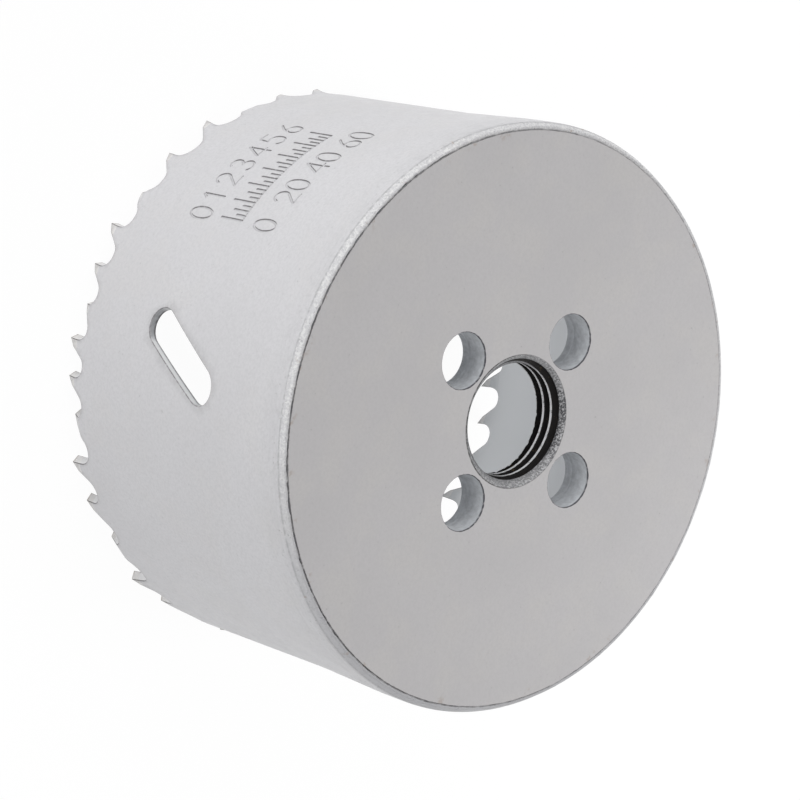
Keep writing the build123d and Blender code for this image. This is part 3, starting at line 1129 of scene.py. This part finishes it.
def plate_material():
    n = Surface("white_enamel_plate")
    colour = enamel_colour(n, PLATE_ENAMEL, 0.4, 0.4)

    # The bore: bare steel, speckled on the chamfer with painted light on two of its sides, bright on the thread's
    # crests, and painted shade, near black, in its roots
    in_bore = n.times(n.ramp(n.r, MOUTH_R + 0.06, MOUTH_R + 0.02), n.ramp(n.z, 40.15, 40.19))
    mottle, streak = n.noise(4.2, 4.0, 0.7), n.noise(1.1, 3.0, 0.6)
    speckle = n.ramp(mottle, 0.44, 0.62)
    outwards = n.ramp(n.plus(n.r, n.times(streak, 0.3)), MOUTH_R - 0.85, MOUTH_R + 0.05)
    chamfer = n.mix(outwards, n.mix(speckle, *CHAMFER_DARK), n.mix(speckle, *CHAMFER_PALE))
    chamfer = n.tint(chamfer, CHAMFER_STREAK, n.ramp(streak, 0.46, 0.70), 0.3)
    lit = n.ramp(n.math("ABSOLUTE", n.towards(0.8, 0.6)), 2.0, 8.0, 0.0, 0.4)
    chamfer = n.mix(lit, chamfer, n.mix(mottle, *CHAMFER_LIT))
    crest_dirt = n.times(n.patches(2.6, 4.0, 0.7, 0.50, 0.70), 0.05)
    root = n.ramp(n.plus(n.r, crest_dirt), THREAD_CREST_R + 0.005, THREAD_CREST_R + 0.06)
    thread = n.mix(root, CREST_STEEL, n.mix(n.patches(1.9, 3.0, 0.6, 0.60, 0.75), *ROOT_SHADE))
    cone = MOUTH_R - HEIGHT
    on_chamfer = n.ramp(n.math("SUBTRACT", n.r, n.z), cone + 0.02, cone + 0.06, 1.0, 0.0)
    colour = n.mix(in_bore, colour, n.mix(on_chamfer, thread, chamfer))

    # Painted shade round the mouth as a dark lip, wider on the near side
    near_side = n.towards(0.6, -0.8)
    lip_end = n.ramp(near_side, 2.0, 7.5, MOUTH_R + 0.15, MOUTH_R + 0.24)
    lip_shade = n.times(
        n.ramp(n.math("SUBTRACT", lip_end, n.r), 0.0, 0.07),
        n.ramp(n.r, MOUTH_R - 0.02, MOUTH_R + 0.02),
        n.patches(1.8, 3.0, 0.6, 0.30, 0.60, 0.55, 1.0),
        n.ramp(near_side, -4.0, 4.0, 0.35, 1.0),
        n.ramp(n.z, 44.0, 44.3),
    )
    colour = n.mix(lip_shade, colour, BORE_LIP_SHADE)

    # Painted shade in the crack at the rim, and rust there; the pin holes' walls painted darker as painted shade,
    # and the edges of the holes and the rim darkened by worn paint with painted shade
    ragged = n.plus(n.r, n.times(n.noise(4.5, 4.0, 0.7), 0.26))
    colour = n.tint(colour, CRACK_SHADE, n.ramp(ragged, 36.53, 36.62), n.patches(1.4, 3.0, 0.6, 0.34, 0.56, 0.4, 1.0),
                    n.ramp(near_side, -20.0, 40.0, 0.25, 1.0), 0.9)
    colour = n.tint(colour, RUST, n.ramp(n.r, 35.2, 36.3), n.patches(0.5, 3.0, 0.65, 0.60, 0.70), 0.35)
    in_pin = n.times(n.ramp(n.z, 44.44, 44.36), n.ramp(n.r, 8.7, 8.9))
    colour = n.tint(colour, n.mix(n.patches(1.3, 4.0, 0.65, 0.35, 0.65), *PIN_WALL_SHADE), in_pin, 0.9)
    colour = n.tint(colour, PLATE_EDGE_WEAR_AND_SHADE, n.edge, n.patches(1.8, 3.0, 0.6, 0.32, 0.6, 0.4, 1.0))

    normal = n.bump(n.noise(1.3), 0.35, 0.00002)
    turned = n.times(n.math("SINE", n.times(n.r, 7.0)), n.patches(0.25, 2.0, 0.5, 0.35, 0.65))
    normal = n.bump(turned, 0.10, 0.00001, normal)
    normal = n.bump(n.times(n.ramp(mottle, 0.4, 0.6), in_bore), 0.5, 0.00004, normal)
    metallic = n.times(in_bore, n.ramp(n.r, THREAD_CREST_R + 0.005, THREAD_CREST_R + 0.06, 0.85, 0.12))
    return n.enamel(colour, n.patches(0.5, 3.0, 0.5, 0.3, 0.7, 0.40, 0.52), normal, metallic)


# How the floor and the world look to the camera, and the light that they give to the object
FLOOR_SEEN = (0.06, 0.95)
FLOOR_LIGHT = (0.40, 0.29)
SKY_LIGHT = 0.49


def floor_material():
    """A plain pale floor: white to the camera apart from the object's soft shadow, and see-through from below."""
    n = Surface("plain_floor")
    seen = n.seen()
    tone = n.mix(seen, (FLOOR_LIGHT[0],) * 3, (FLOOR_SEEN[0],) * 3)
    glow = n.ramp(seen, 0.0, 1.0, FLOOR_LIGHT[1], FLOOR_SEEN[1], "LINEAR")
    both = n.fill(n.add("ShaderNodeAddShader"), (n.set(n.add("ShaderNodeBsdfDiffuse"), {"Color": tone}),
                                                 n.set(n.add("ShaderNodeEmission"), {"Strength": glow})))
    camera_ray = n.add("ShaderNodeLightPath").outputs["Is Camera Ray"]
    from_below = n.times(n.add("ShaderNodeNewGeometry").outputs["Backfacing"], camera_ray)
    clear = n.add("ShaderNodeBsdfTransparent").outputs[0]
    return n.finish(n.fill(n.add("ShaderNodeMixShader"), (from_below, both, clear)))


shell.data.materials.append(shell_material())
tips_piece.data.materials.append(tip_material())
plate.data.materials.append(plate_material())

# Floor and world
FLOOR_HALF = 3.0
FLOOR_DROP = 0.00002
floor_mesh = bpy.data.meshes.new("floor")
floor_corners = [(x * FLOOR_HALF, y * FLOOR_HALF, -FLOOR_DROP) for x, y in ((-1, -1), (1, -1), (1, 1), (-1, 1))]
floor_mesh.from_pydata(floor_corners, [], [(0, 1, 2, 3)])
floor = bpy.data.objects.new("floor", floor_mesh)
bpy.context.scene.collection.objects.link(floor)
floor_mesh.materials.append(floor_material())

world = bpy.data.worlds.new("studio")
bpy.context.scene.world = world
sky = Nodes(world)
sky_level = sky.ramp(sky.seen(), 0.0, 1.0, SKY_LIGHT, 1.0, "LINEAR")
plain_sky = sky.set(sky.add("ShaderNodeBackground"), {"Color": (1.0, 1.0, 1.0, 1.0), "Strength": sky_level})
sky.put(plain_sky, sky.add("ShaderNodeOutputWorld").inputs["Surface"])

# Lamps: azimuth and elevation in degrees, distance and size in metres, and the share of a plain level that
# each adds to a surface that faces it
OBJECT_MIDDLE = Vector((0, 0, 0.022))
LAMPS = (
    ("key", -127.0, 10.0, 0.8, 0.7, 0.81),
    ("front", -45.0, 5.0, 0.9, 0.5, 0.37),
    ("fill", -20.0, 10.0, 1.0, 0.6, 0.105),
    ("side", 110.0, 25.0, 0.26, 0.12, 0.41),
)


def area_lamp(name, size, energy):
    data = bpy.data.lights.new(name, "AREA")
    data.size = size
    data.energy = energy
    light = bpy.data.objects.new(name, data)
    bpy.context.scene.collection.objects.link(light)
    return light


for name, azimuth, elevation, distance, size, share in LAMPS:
    a, e = radians(azimuth), radians(elevation)
    way = Vector((cos(a) * cos(e), sin(a) * cos(e), sin(e)))
    light = area_lamp(name, size, share * pi ** 2 * distance ** 2)
    light.location = OBJECT_MIDDLE + way * distance
    light.rotation_mode = "QUATERNION"
    light.rotation_quaternion = way.to_track_quat("Z", "Y")

# Light that comes in at the open end, as from pale surroundings
UNDER_R, UNDER_HEIGHT, UNDER_SHARE = 0.033, 0.0004, 0.8
under = area_lamp("under", 2 * UNDER_R, UNDER_SHARE * pi ** 2 * UNDER_R ** 2)
under.data.shape = "DISK"
under.location = (0, 0, UNDER_HEIGHT)
under.rotation_euler = (pi, 0, 0)
under.visible_camera = False

# Camera, fitted to the photo
AZIMUTH, ELEVATION, ROLL, DISTANCE = 25.793, 47.782, -104.676, 0.36427
AIM = Vector((0.00576, -0.00943, 0.03452))
a, e = radians(AZIMUTH), radians(ELEVATION)
back = Vector((sin(a) * cos(e), -cos(a) * cos(e), sin(e)))
camera_data = bpy.data.cameras.new("camera")
camera_data.lens = 131.2
camera_data.sensor_width = 36.0
camera_data.clip_start, camera_data.clip_end = 0.01, 20.0
camera = bpy.data.objects.new("camera", camera_data)
camera.location = AIM + back * DISTANCE
camera.rotation_mode = "QUATERNION"
level_turn = (-back).to_track_quat("-Z", "Y")
camera.rotation_quaternion = level_turn @ Matrix.Rotation(radians(-ROLL), 3, "Z").to_quaternion()
bpy.context.scene.collection.objects.link(camera)
bpy.context.scene.camera = camera

bpy.context.scene.view_settings.view_transform = "Standard"
